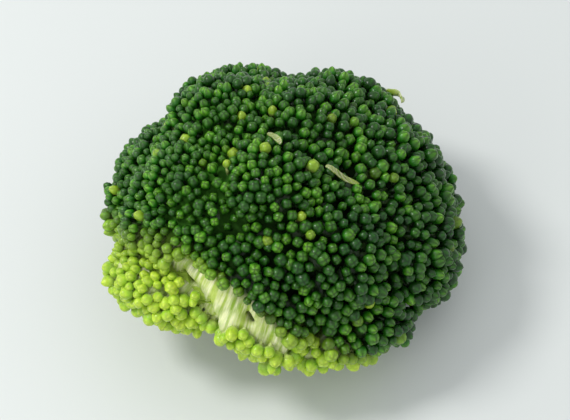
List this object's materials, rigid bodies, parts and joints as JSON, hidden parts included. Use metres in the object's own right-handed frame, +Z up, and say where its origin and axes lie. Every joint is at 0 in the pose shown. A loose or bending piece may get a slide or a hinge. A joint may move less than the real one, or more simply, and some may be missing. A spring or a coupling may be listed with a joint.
{
  "type": "broccoli floret",
  "caption": "cooked broccoli floret: a broad dome of tight green flower buds on short pale forked branches and a cut stalk, leaning over on its cut end",
  "frame": {"origin": "centre of the bounding box, on the surface the floret rests on", "axes": "+Z up, +X to the right and +Y away from someone who looks at its front; the stalk is on the left of the dome, and the crown leans to the right and a little to the back"},
  "size_m": [0.0598, 0.0566, 0.041],
  "materials": {
    "flesh": "satin",
    "buds": "satin",
    "leaf": "satin"
  },
  "bodies": {
    "root": {"stalk": "flesh", "branch_01": "flesh", "branch_02": "flesh", "branch_03": "flesh", "branch_04": "flesh", "branch_05": "flesh", "branch_06": "flesh", "branch_07": "flesh", "branch_08": "flesh", "branch_09": "flesh", "branch_10": "flesh", "branch_11": "flesh", "branch_12": "flesh", "branch_13": "flesh", "branch_14": "flesh", "branch_15": "flesh", "bud_cluster_01": "buds", "bud_cluster_02": "buds", "bud_cluster_03": "buds", "bud_cluster_04": "buds", "bud_cluster_05": "buds", "bud_cluster_06": "buds", "bud_cluster_07": "buds", "bud_cluster_08": "buds", "bud_cluster_09": "buds", "bud_cluster_10": "buds", "bud_cluster_11": "buds", "bud_cluster_12": "buds", "bud_cluster_13": "buds", "bud_cluster_14": "buds", "bud_cluster_15": "buds", "bract_01": "leaf", "bract_02": "leaf", "bract_03": "leaf"}
  },
  "joints": []
}
